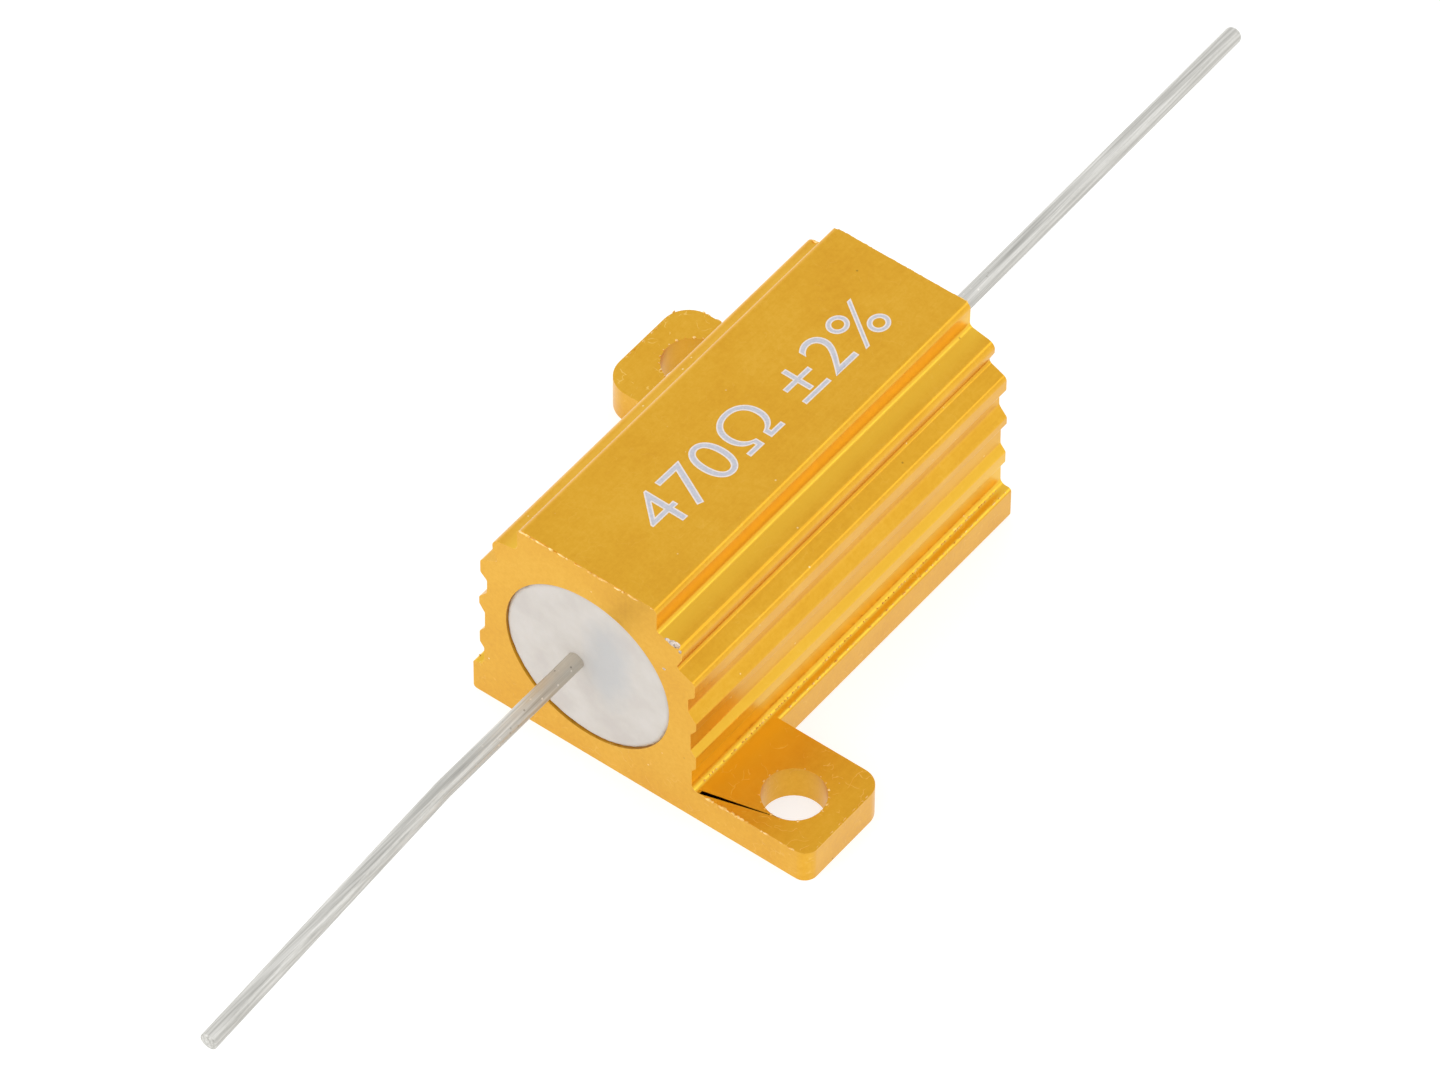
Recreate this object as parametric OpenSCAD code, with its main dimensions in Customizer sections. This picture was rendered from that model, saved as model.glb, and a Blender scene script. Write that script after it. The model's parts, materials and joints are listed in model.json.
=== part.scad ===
// Aluminium housed power resistor with wire leads.
// Origin: middle of the mounting face. +Y along the leads, +Z up out of the mounting face.
// The +X tab is at the front end (-Y), the -X tab at the rear end (+Y).

/* [Housing] */
// Length of the extruded body between its sawn ends
body_len = 15.3; // [12:0.1:24]
// Width of the extrusion over its base, tabs not counted
body_w = 8.65; // [8.2:0.05:11]
// Height from the mounting face to the flat top
body_h = 8.4; // [8:0.1:10.5]
// Diameter of the bore that holds the resistor element
bore_d = 6.1; // [4.9:0.05:6.3]
// Height of the bore's axis above the mounting face
bore_z = 4.0; // [3.8:0.05:4.4]

/* [Tabs] */
// Width over both mounting tabs
tab_span = 16.45; // [15:0.05:20]
// Length of the front tab along the body, counted from the front end
front_tab_len = 3.75; // [3.2:0.05:5]
// Length of the rear tab along the body, counted from the rear end
rear_tab_len = 4.15; // [3.2:0.05:5]
// Thickness of the tabs and of the ledge along each side
tab_t = 1.25; // [0.8:0.05:1.3]
// Diameter of the screw hole in each tab
hole_d = 2.0; // [1.2:0.05:2.2]
// Distance between the two holes across the body
hole_pitch_x = 12.85; // [12.2:0.05:12.9]
// Distance of the front hole from the front end
front_hole_end = 1.7; // [1.5:0.05:2]
// Distance of the rear hole from the rear end
rear_hole_end = 1.85; // [1.5:0.05:2]
// Corner radius of the front tab in line with the front end
tab_r_end = 0.45; // [0.2:0.05:1]
// Corner radius of the front tab on its other corner
tab_r_inner = 0.7; // [0.2:0.05:1]
// Corner radius of the rear tab
tab_r_rear = 0.95; // [0.2:0.05:1]

/* [Potting] */
// How far the potting stands back from the end faces
potting_recess = 0.1; // [0.05:0.05:0.6]
// Radius of the potting's rounded rim
potting_rim_r = 0.15; // [0.05:0.05:0.5]

/* [Resistor element] */
// Diameter of the ceramic core
core_d = 3.5; // [3:0.1:3.6]
// Distance from each end face to the outside of the end cap
cap_setback = 1.15; // [0.9:0.05:2]
// Length of an end cap
cap_len = 1.5; // [0.8:0.1:2]
// Sheet thickness of an end cap
cap_t = 0.25; // [0.15:0.05:0.3]
// Diameter of the resistance wire
wire_d = 0.3; // [0.15:0.05:0.35]
// Number of turns of resistance wire
wire_turns = 24; // [8:1:26]

/* [Leads] */
// Diameter of the wire leads
lead_d = 0.58; // [0.4:0.02:1]
// Free length of the front lead beyond the end face
front_free = 17.8; // [5:0.1:40]
// Free length of the rear lead beyond the end face
rear_free = 17.5; // [5:0.1:40]
// Sideways place where the front lead leaves the end face
front_off = -0.48; // [-0.8:0.02:0.8]
// Sideways lean of the front lead in degrees
front_lean = 2.1; // [0:0.1:4]
// Sideways place where the rear lead leaves the end face
rear_off = 0.1; // [-0.8:0.02:0.8]
// Sideways lean of the rear lead in degrees
rear_lean = 0.5; // [0:0.1:4]
// Diameter of the weld fillet where it leaves the bead, inside the potting
fillet_d = 0.9; // [0.6:0.05:1.05]

/* [Hidden] */
$fn = 64;
half_len = body_len / 2;
// Tabs: outer edge from the middle plane, and how deep their roots sit in the extrusion
tab_out = tab_span / 2;
tab_root = 1.2;
// Steps in a rounded corner of the section, of a tab, and around a turn of wire
rib_steps = 5;
tab_steps = 14;
wire_steps = 24;
// Element: outside of the caps, and the winding between them
cap_d = core_d + 2 * cap_t;
cap_face = half_len - cap_setback;
winding_len = 2 * (cap_face - cap_len);
wire_pitch = (winding_len - wire_d) / (wire_turns - 1);
// Weld bead of a lead on its cap
bead_d = 1.1;
bead_len = 0.25;
// How far a lead's full diameter reaches into the potting
lead_sink = 0.1;
// The section was laid out on a body 8.65 wide whose ribs stand 7.15 above the ledge
kx = body_w / 8.65;
kz = (body_h - tab_t) / 7.15;

// Unit vector
function unit(v) = v / norm(v);

// Corner b between a and c, rounded with radius r in n steps
function corner(a, b, c, r, n) = r <= 0 ? [b] :
    let (u = unit(a - b), v = unit(c - b), h = acos(u * v) / 2,
         o = b + unit(u + v) * r / sin(h),
         p = b + u * r / tan(h) - o, q = b + v * r / tan(h) - o)
    [for (i = [0 : n]) o + r * unit(p * (1 - i / n) + q * i / n)];

// Outline through corners given as [x, y, radius]
function rounded(c, n = rib_steps) = let (m = len(c), p = [for (k = c) [k[0], k[1]]])
    [for (i = [0 : m - 1])
        each corner(p[(i + m - 1) % m], p[i], p[(i + 1) % m], c[i][2], n)];

// A rib corner: x from the middle plane, z above the ledge
function rib(x, z, r) = [x * kx, tab_t + z * kz, r];

// Right side of the extrusion, from the foot up to the flat top
SIDE = [
    [body_w / 2, 0, 0.12], [body_w / 2, tab_t, 0.12],
    // ledge corner and lowest rib
    rib(3.91, 0, 0.20), rib(3.90, 0.83, 0.12), rib(4.06, 1.03, 0.16), rib(4.06, 1.51, 0.16),
    // second rib
    rib(3.86, 1.76, 0.15), rib(3.85, 2.46, 0.12), rib(4.06, 2.76, 0.15), rib(4.06, 3.07, 0.15),
    // third rib
    rib(3.76, 3.43, 0.25), rib(3.75, 3.98, 0.14), rib(4.00, 4.22, 0.14), rib(4.00, 4.79, 0.22),
    // shoulder rib
    rib(3.31, 5.12, 0.14), rib(3.52, 5.58, 0.15), rib(3.54, 5.98, 0.28),
    // groove beside the raised top, and its rounded edge
    rib(2.58, 6.18, 0.18), rib(2.59, 7.15, 0.24)
];

// The same corners seen in the middle plane
LEFT = [for (i = [len(SIDE) - 1 : -1 : 0]) [-SIDE[i][0], SIDE[i][1], SIDE[i][2]]];

// Lay a shape drawn along Z down along +Y
module along_y() { rotate([-90, 0, 0]) children(); }

module extrusion() {
    translate([0, half_len, 0]) rotate([90, 0, 0])
        linear_extrude(height = body_len) polygon(rounded(concat(SIDE, LEFT)));
}

// A tab on the +X side at the front end, with the screw hole cut later
module tab(length, end_r, inner_r) {
    root = body_w / 2 - tab_root;
    linear_extrude(height = tab_t)
        polygon(rounded([[root, -half_len, 0], [tab_out, -half_len, end_r],
            [tab_out, length - half_len, inner_r], [root, length - half_len, 0]], tab_steps));
}

module tab_hole(end) {
    translate([hole_pitch_x / 2, end - half_len, -1]) cylinder(h = tab_t + 2, d = hole_d);
}

module housing() {
    color([0.86, 0.66, 0.24]) difference() {
        union() {
            extrusion();
            tab(front_tab_len, tab_r_end, tab_r_inner);
            rotate([0, 0, 180]) tab(rear_tab_len, tab_r_rear, tab_r_rear);
        }
        translate([0, -half_len - 1, bore_z]) along_y() cylinder(h = body_len + 2, d = bore_d);
        tab_hole(front_hole_end);
        rotate([0, 0, 180]) tab_hole(rear_hole_end);
    }
}

module potting() {
    half = half_len - potting_recess;
    r = bore_d / 2;
    color([0.87, 0.85, 0.82]) difference() {
        translate([0, 0, bore_z]) along_y() rotate_extrude()
            polygon(rounded([[0, -half, 0], [r, -half, potting_rim_r],
                [r, half, potting_rim_r], [0, half, 0]]));
        ceramic_core();
        resistance_winding();
        front_cap();
        rear_cap();
        front_lead();
        rear_lead();
    }
}

module ceramic_core() {
    h = 2 * (cap_face - cap_t);
    color([0.92, 0.90, 0.86])
        translate([0, -h / 2, bore_z]) along_y() cylinder(h = h, d = core_d);
}

// Close turns of wire on a thin fired layer, between the caps
module resistance_winding() {
    r = core_d / 2;
    color([0.45, 0.43, 0.42]) translate([0, 0, bore_z]) along_y() rotate_extrude() {
        translate([r, -winding_len / 2]) square([wire_d / 2, winding_len]);
        intersection() {
            for (i = [0 : wire_turns - 1])
                translate([r + wire_d / 2, (i - (wire_turns - 1) / 2) * wire_pitch])
                    circle(d = wire_d, $fn = wire_steps);
            translate([r, -winding_len / 2]) square([wire_d, winding_len]);
        }
    }
}

// Pressed cup whose closed face looks along +Y
module cap() {
    color([0.70, 0.69, 0.66]) translate([0, cap_face - cap_len, bore_z]) along_y() difference() {
        cylinder(h = cap_len, d = cap_d);
        translate([0, 0, -1]) cylinder(h = cap_len - cap_t + 1, d = core_d);
    }
}

module front_cap() { rotate([0, 0, 180]) cap(); }

module rear_cap() { cap(); }

// Weld bead, its fillet and the wire; side is -1 at the front and 1 at the rear
module lead(side, off, lean, free) {
    foot = off + side * tan(lean) * cap_setback;
    sunk = potting_recess + lead_sink;
    buried = cap_setback - bead_len / 2;
    color([0.78, 0.77, 0.74]) {
        translate([foot, side * cap_face, bore_z]) rotate([-90 * side, 0, 0])
            cylinder(h = bead_len, d = bead_d);
        translate([off, side * half_len, bore_z]) rotate([0, 0, lean]) rotate([-90 * side, 0, 0]) {
            translate([0, 0, -buried]) cylinder(h = buried - sunk, d1 = fillet_d, d2 = lead_d);
            translate([0, 0, -sunk]) cylinder(h = sunk + free, d = lead_d);
        }
    }
}

module front_lead() { lead(-1, front_off, front_lean, front_free); }

module rear_lead() { lead(1, rear_off, rear_lean, rear_free); }

housing();
potting();
ceramic_core();
resistance_winding();
front_cap();
rear_cap();
front_lead();
rear_lead();
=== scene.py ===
import json
import logging
import math
from dataclasses import dataclass, field
from enum import Enum
from typing import Iterable, Sequence

import bmesh
import bpy
from mathutils import Matrix, Vector, noise

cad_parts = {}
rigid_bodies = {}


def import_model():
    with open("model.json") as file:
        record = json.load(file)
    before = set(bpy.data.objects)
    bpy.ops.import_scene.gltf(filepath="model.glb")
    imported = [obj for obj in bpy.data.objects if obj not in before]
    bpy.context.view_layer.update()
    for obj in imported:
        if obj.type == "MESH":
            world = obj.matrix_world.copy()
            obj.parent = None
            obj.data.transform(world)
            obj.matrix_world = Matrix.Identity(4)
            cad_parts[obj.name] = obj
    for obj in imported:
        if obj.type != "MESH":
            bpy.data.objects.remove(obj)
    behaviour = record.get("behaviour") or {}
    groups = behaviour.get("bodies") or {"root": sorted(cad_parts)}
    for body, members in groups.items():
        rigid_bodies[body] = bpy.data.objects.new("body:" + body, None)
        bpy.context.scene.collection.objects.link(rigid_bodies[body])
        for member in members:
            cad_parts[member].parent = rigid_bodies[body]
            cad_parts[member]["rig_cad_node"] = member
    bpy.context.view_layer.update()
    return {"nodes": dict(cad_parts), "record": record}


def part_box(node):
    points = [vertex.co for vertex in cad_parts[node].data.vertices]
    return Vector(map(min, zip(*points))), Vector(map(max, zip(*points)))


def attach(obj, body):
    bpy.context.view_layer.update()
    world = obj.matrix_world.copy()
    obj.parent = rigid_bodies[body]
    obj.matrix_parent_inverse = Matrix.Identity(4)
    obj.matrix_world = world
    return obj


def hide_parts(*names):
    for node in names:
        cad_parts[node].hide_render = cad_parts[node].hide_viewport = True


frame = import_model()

log = logging.getLogger("power_resistor")

MM = 0.001  # metres in a millimetre
SLIVER = 0.0002  # edges shorter than this many millimetres are merged away
BORDER_DEG = 3.0  # where two finishes meet, an edge that turns by more than this is hard
BODY = "root"
FLAT_DEG = 0.5  # faces that turn by less than this are melted into one
SAME_PLACE = 2e-7  # points nearer than this many metres are one
CLEARANCE = 0.002  # millimetres between the compound and what it fills or surrounds

Socket = bpy.types.NodeSocket
Value = Socket | float


class Side(Enum):
    """The two ends of the resistor, with the direction along Y that points out of each."""

    FRONT = -1
    REAR = 1


class Region(Enum):
    """Kinds of surface on the housing, in the order of its material slots."""

    SKIN = 0
    SAWN = 1
    MILLED = 2
    BORE = 3
    EDGE = 4
    CHIP = 5
    BURR = 6


# ---------------------------------------------------------------- helpers


def linear(code: str) -> tuple[float, float, float, float]:
    """Turns an sRGB hex colour into Blender's linear colour.

    Args:
        code: Six hex digits, such as "d9a834".

    Returns:
        Linear red, green, blue and an alpha of one.
    """
    parts = [int(code[i : i + 2], 16) / 255 for i in (0, 2, 4)]
    lin = [c / 12.92 if c <= 0.04045 else ((c + 0.055) / 1.055) ** 2.4 for c in parts]
    return (*lin, 1.0)


def add(tree: bpy.types.NodeTree, kind: str, inputs: dict | None = None, **settings) -> bpy.types.Node:
    """Adds one node to a tree, with its settings, values and links.

    Args:
        tree: The shader or geometry tree.
        kind: The node's type, such as "ShaderNodeTexNoise".
        inputs: Input name or index to a value, or to the output socket that feeds it.
        **settings: The node's own properties.

    Returns:
        The new node.
    """
    node = tree.nodes.new(kind)
    for name, value in settings.items():
        setattr(node, name, value)
    for key, value in (inputs or {}).items():
        socket = node.inputs[key]
        if isinstance(value, Socket):
            tree.links.new(value, socket)
        else:
            socket.default_value = value
    return node


def placed(name: str, mesh: bpy.types.Mesh) -> bpy.types.Object:
    """Links a mesh into the scene as an object at the origin.

    Args:
        name: Name of the piece.
        mesh: Its mesh, already in place.

    Returns:
        The linked object.
    """
    mesh.name = name
    obj = bpy.data.objects.new(name, mesh)
    bpy.context.scene.collection.objects.link(obj)
    return obj


def baked(name: str, source: bpy.types.Object) -> bpy.types.Object:
    """Turns an object's modifiers into a plain mesh on a new object, and deletes the source.

    Args:
        name: Name of the finished piece.
        source: Object whose modifiers make the shape.

    Returns:
        A new object at the origin that holds the finished mesh.
    """
    deps = bpy.context.evaluated_depsgraph_get()
    mesh = bpy.data.meshes.new_from_object(source.evaluated_get(deps), depsgraph=deps)
    source.modifiers.clear()
    bpy.data.objects.remove(source)
    return placed(name, mesh)


def shaded(obj: bpy.types.Object, sharp_deg: float) -> bpy.types.Object:
    """Shades a piece smooth, with hard edges above an angle and where finishes meet, and flat faces flat.

    Args:
        obj: The piece, which is used up.
        sharp_deg: Edges that turn by more than this stay hard.

    Returns:
        The shaded piece.
    """
    mesh = bmesh.new()
    mesh.from_mesh(obj.data)
    # In triangles, because a large face round a hole folds over when its short edges go
    bmesh.ops.triangulate(mesh, faces=mesh.faces)
    bmesh.ops.dissolve_degenerate(mesh, dist=SLIVER * MM, edges=mesh.edges)
    mesh.normal_update()
    for face in mesh.faces:
        face.smooth = True
    for edge in mesh.edges:
        if len(edge.link_faces) == 2:
            turn = edge.calc_face_angle(0.0)
            border = edge.link_faces[0].material_index != edge.link_faces[1].material_index
            edge.smooth = turn < math.radians(BORDER_DEG if border else sharp_deg)
    mesh.to_mesh(obj.data)
    mesh.free()
    even = obj.modifiers.new("even", "WEIGHTED_NORMAL")
    even.keep_sharp = True
    name = obj.name
    obj.name = name + "_rough"
    return baked(name, obj)


def dress(obj: bpy.types.Object, slot: str | None, *materials: bpy.types.Material) -> None:
    """Gives a piece its materials and its body, and reports it with its record slot.

    Args:
        obj: The finished piece.
        slot: The record's slot, or None where the record has none for it.
        *materials: Materials in the order of the mesh's indices, or none to keep the mesh's own.
    """
    # Clearing slots also resets the faces' indices, so only a piece that has slots is cleared
    if materials and obj.data.materials:
        obj.data.materials.clear()
    for material in materials:
        obj.data.materials.append(material)
    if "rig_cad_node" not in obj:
        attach(obj, BODY)
    triangles = sum(len(p.vertices) - 2 for p in obj.data.polygons)
    log.info("%s: %d triangles, %s", obj.name, triangles, slot or "no slot")


# ---------------------------------------------------------------- finishes


class Graph:
    """A node tree for a material or a shape, and the steps that both kinds share."""

    def __init__(self, tree: bpy.types.NodeTree) -> None:
        """Keeps the tree."""
        self.tree = tree

    def node(self, kind: str, inputs: dict | None = None, **settings) -> Socket:
        """Adds a node and returns its first output.

        Args:
            kind: The node's type.
            inputs: Its values and links.
            **settings: Its own properties.

        Returns:
            The node's first output socket.
        """
        return add(self.tree, kind, inputs, **settings).outputs[0]

    def math(self, operation: str, first: Value, second: Value = 0.0, clamp: bool = False) -> Socket:
        """Works out one sum, difference, product or other step on sockets or numbers."""
        return self.node("ShaderNodeMath", {0: first, 1: second}, operation=operation, use_clamp=clamp)


class Paint(Graph):
    """A material's node tree, with its shader and the position in millimetres."""

    def __init__(self, name: str) -> None:
        """Starts the material.

        Args:
            name: Name of the material.
        """
        self.material = bpy.data.materials.new(name)
        self.material.use_nodes = True
        super().__init__(self.material.node_tree)
        self.shader = self.tree.nodes["Principled BSDF"]
        where = add(self.tree, "ShaderNodeTexCoord").outputs["Object"]
        self.mm = self.node("ShaderNodeMapping", {"Vector": where, "Scale": (1 / MM,) * 3})

    def noise(self, scale: float | tuple[float, float, float], detail: float = 3.0, rough: float = 0.6) -> Socket:
        """Cloudy value around 0.5.

        Args:
            scale: Lumps per millimetre, as one number or as a vector for stretched lumps.
            detail: Octaves of finer lumps.
            rough: Share of the finer lumps.

        Returns:
            The value socket.
        """
        place = self.mm
        if isinstance(scale, tuple):
            place, scale = self.node("ShaderNodeMapping", {"Vector": place, "Scale": scale}), 1.0
        return self.node(
            "ShaderNodeTexNoise", {"Vector": place, "Scale": scale, "Detail": detail, "Roughness": rough}
        )

    def range(self, value: Socket, low: float, high: float, to_low: float = 0.0, to_high: float = 1.0) -> Socket:
        """Maps a value from one range to another, clamped.

        Args:
            value: The value socket.
            low: Start of the range.
            high: End of the range.
            to_low: Result at the start.
            to_high: Result at the end.

        Returns:
            The mapped value.
        """
        return self.node("ShaderNodeMapRange", {0: value, 1: low, 2: high, 3: to_low, 4: to_high})

    def ramp(self, value: Socket, stops: Sequence[tuple[float, str]]) -> Socket:
        """Colours a value from a row of stops.

        Args:
            value: The value that picks the colour.
            stops: Position and hex colour of each stop, in order.

        Returns:
            The colour socket.
        """
        node = add(self.tree, "ShaderNodeValToRGB", {"Fac": value})
        points = node.color_ramp.elements
        while len(points) < len(stops):
            points.new(0.5)
        for point, (position, code) in zip(points, stops):
            point.position = position
            point.color = linear(code)
        return node.outputs["Color"]

    def mixed(self, share: Socket, first: Socket | str, second: Socket | str) -> Socket:
        """Mixes two colours by a share.

        Args:
            share: How much of the second colour shows.
            first: A colour socket or a hex code.
            second: Another.

        Returns:
            The mixed colour.
        """
        ends = {6: first, 7: second}
        ends = {k: linear(v) if isinstance(v, str) else v for k, v in ends.items()}
        return add(self.tree, "ShaderNodeMix", {0: share, **ends}, data_type="RGBA").outputs[2]

    def blend(self, share: float, first: Socket, second: Socket) -> Socket:
        """Mixes two values by a share."""
        return self.node("ShaderNodeMix", {0: share, 2: first, 3: second})

    def distance(self, place: Socket, point: tuple[float, float, float]) -> Socket:
        """How far a position is from a point."""
        return add(self.tree, "ShaderNodeVectorMath", {0: place, 1: point}, operation="DISTANCE").outputs["Value"]

    def specks(self, pitch: float, radius: float, share: float, place: Socket | None = None) -> Socket:
        """Scattered round specks.

        Args:
            pitch: Distance between possible places, in millimetres.
            radius: Radius of a speck, in millimetres.
            share: Part of the places that hold a speck.
            place: Position in millimetres, or None for the material's own.

        Returns:
            One inside a speck, zero outside.
        """
        cells = add(self.tree, "ShaderNodeTexVoronoi", {"Vector": place or self.mm, "Scale": 1 / pitch})
        near = self.range(cells.outputs["Distance"], radius / pitch * 0.6, radius / pitch * 1.4, 1.0, 0.0)
        pick = self.node("ShaderNodeSeparateColor", {0: cells.outputs["Color"]})
        return self.math("MULTIPLY", near, self.range(pick, share, share + 0.01, 1.0, 0.0))

    def close(self, colour: Socket, height: Socket, relief: float) -> bpy.types.Material:
        """Links the colour and a fine relief to the shader.

        Args:
            colour: Colour socket.
            height: Value socket that makes the relief.
            relief: Height of the relief in micrometres.

        Returns:
            The finished material.
        """
        bump = self.node("ShaderNodeBump", {"Strength": 1.0, "Distance": relief * 1e-6, "Height": height})
        self.tree.links.new(colour, self.shader.inputs["Base Color"])
        self.tree.links.new(bump, self.shader.inputs["Normal"])
        return self.material


@dataclass(frozen=True)
class Finish:
    """A surface finish that a material is made from."""

    name: str


@dataclass(frozen=True)
class Anodised(Finish):
    """Gold anodised aluminium: bright metal under a clear dyed oxide.

    The metal gives a deep satin gold, the clear oxide a faint white sheen that grows at a flat angle.
    """

    light: str = "e5b034"
    middle: str = "e0a827"
    deep: str = "da9f20"
    streak: float = 0.25
    roughness: float = 0.33
    relief: float = 2.5
    speck: float = 0.25
    scuffs: float = 0.5
    # Places of the painted highlight: x and z of each hollow's middle and its reach, in millimetres
    painted_light_hollows: tuple[tuple[float, float, float], ...] = ((2.65, 7.6, 0.7), (4.0, 1.6, 2.0))

    def build(self) -> bpy.types.Material:
        """Makes the material.

        Returns:
            The finished material.
        """
        paint = Paint(self.name)
        # Lines of the extrusion die run along the body. Real ones are about 0.02 mm apart,
        # drawn here at 0.1 mm so that they show.
        lines = paint.noise((10.0, 0.15, 10.0), 3.0, 0.65)
        # Grain of the caustic etch before anodising, about 0.1 mm
        etch = paint.noise(6.0, 5.0, 0.75)
        # Slow change of dye depth over a few millimetres
        dye = paint.noise(0.5, 2.0)
        fine = paint.blend(self.streak, etch, lines)
        tone = paint.blend(0.35, fine, dye)
        colour = paint.ramp(tone, [(0.36, self.deep), (0.5, self.middle), (0.64, self.light)])
        # Gold that mirrors gold turns redder than the real part does, so the groove beside the raised top and the
        # corner above the ledge are painted lighter and yellower: a painted highlight in place of the bright
        # reflections in these hollows
        folded = paint.node("ShaderNodeVectorMath", {0: paint.mm}, operation="ABSOLUTE")
        flat = paint.node("ShaderNodeMapping", {"Vector": folded, "Scale": (1.0, 0.0, 1.0)})
        for x, z, reach in self.painted_light_hollows:
            near = paint.range(paint.distance(flat, (x, 0.0, z)), reach * 0.35, reach, 0.75, 0.0)
            colour = paint.mixed(near, colour, "efc03a")
        # Dust and tiny pits, about 0.05 paint.mm, pale and dark
        pale = paint.specks(0.55, 0.03, self.speck)
        moved = paint.node("ShaderNodeMapping", {"Vector": paint.mm, "Location": (7.3, 2.1, 4.7)})
        dark = paint.specks(0.9, 0.035, self.speck, moved)
        colour = paint.mixed(paint.range(pale, 0, 1, 0, 0.7), colour, "ffe9b0")
        colour = paint.mixed(paint.range(dark, 0, 1, 0, 0.6), colour, "8a6420")
        # Short curved scuffs from handling and from the drill's chips, mostly on the tabs
        swirl = add(paint.tree, "ShaderNodeTexNoise", {"Vector": paint.mm, "Scale": 1.3}).outputs["Color"]
        bent = paint.node("ShaderNodeVectorMath", {0: paint.mm, 1: swirl}, operation="ADD")
        walls = add(paint.tree, "ShaderNodeTexVoronoi", {"Vector": bent, "Scale": 1.5}, feature="DISTANCE_TO_EDGE")
        line = paint.range(walls.outputs["Distance"], 0.006, 0.022, 1.0, 0.0)
        some = paint.range(paint.noise(2.1, 2.0), 0.52, 0.58)
        above = add(paint.tree, "ShaderNodeSeparateXYZ", {0: paint.mm}).outputs[2]
        low = paint.range(above, 1.3, 1.5, 1.0, 0.15)
        scuff = paint.math("MULTIPLY", line, some)
        scuff = paint.math("MULTIPLY", scuff, low)
        colour = paint.mixed(paint.range(scuff, 0, 1, 0, self.scuffs), colour, "ffd877")
        rough = paint.range(etch, 0.3, 0.7, self.roughness - 0.05, self.roughness + 0.07)
        paint.tree.links.new(rough, paint.shader.inputs["Roughness"])
        paint.shader.inputs["Metallic"].default_value = 1.0
        paint.shader.inputs["Coat Weight"].default_value = 0.3
        paint.shader.inputs["Coat Roughness"].default_value = 0.35
        height = paint.math("SUBTRACT", fine, scuff)
        return paint.close(colour, height, self.relief)


@dataclass(frozen=True)
class Compound(Finish):
    """Grey-white filled potting compound: chalky silicone with a soft skin and a little depth."""

    # Middle of the painted shade beside the wire, in millimetres
    centre: tuple[float, float, float]
    axis_z: float
    rim: float

    def build(self) -> bpy.types.Material:
        """Makes the material.

        Returns:
            The finished material.
        """
        paint = Paint(self.name)
        cloud = paint.noise(0.9, 3.0)
        colour = paint.ramp(cloud, [(0.35, "c5beb8"), (0.5, "cac4bd"), (0.65, "cec8c2")])
        # Painted bluish grey shade beside the wire, about 1.5 mm wide and 3 mm high
        flat = paint.node("ShaderNodeMapping", {"Vector": paint.mm, "Scale": (1.0, 0.0, 0.5)})
        middle = (self.centre[0], 0.0, self.centre[2] * 0.5)
        from_middle = paint.distance(flat, middle)
        edge = paint.blend(0.4, from_middle, paint.noise(1.6, 4.0))
        painted_shade = paint.range(edge, 0.45, 0.85, 0.8, 0.0)
        colour = paint.mixed(painted_shade, colour, "bababa")
        # Dark crumbs of compound and swarf, a few on the face and more against the wall
        across = paint.node("ShaderNodeMapping", {"Vector": paint.mm, "Scale": (1.0, 0.0, 1.0)})
        axis = (0.0, 0.0, self.axis_z)
        radius = paint.distance(across, axis)
        crumbs = paint.specks(0.8, 0.03, 0.22)
        wall = paint.range(radius, self.rim - 0.12, self.rim - 0.02)
        dirt = paint.range(paint.noise(1.6, 4.0, 0.75), 0.56, 0.68)
        grime = paint.math("MULTIPLY", wall, dirt)
        dark = paint.math("MAXIMUM", grime, crumbs)
        colour = paint.mixed(paint.range(dark, 0, 1, 0, 0.6), colour, "6f6152")
        # Filler grains, about 0.1 paint.mm, drawn a little coarser than the real powder
        filler = paint.noise(11.0, 3.0, 0.7)
        paint.shader.inputs["Roughness"].default_value = 0.55
        paint.shader.inputs["Subsurface Weight"].default_value = 0.1
        paint.shader.inputs["Subsurface Radius"].default_value = (0.0005, 0.0004, 0.0003)
        return paint.close(colour, filler, 8.0)


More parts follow.
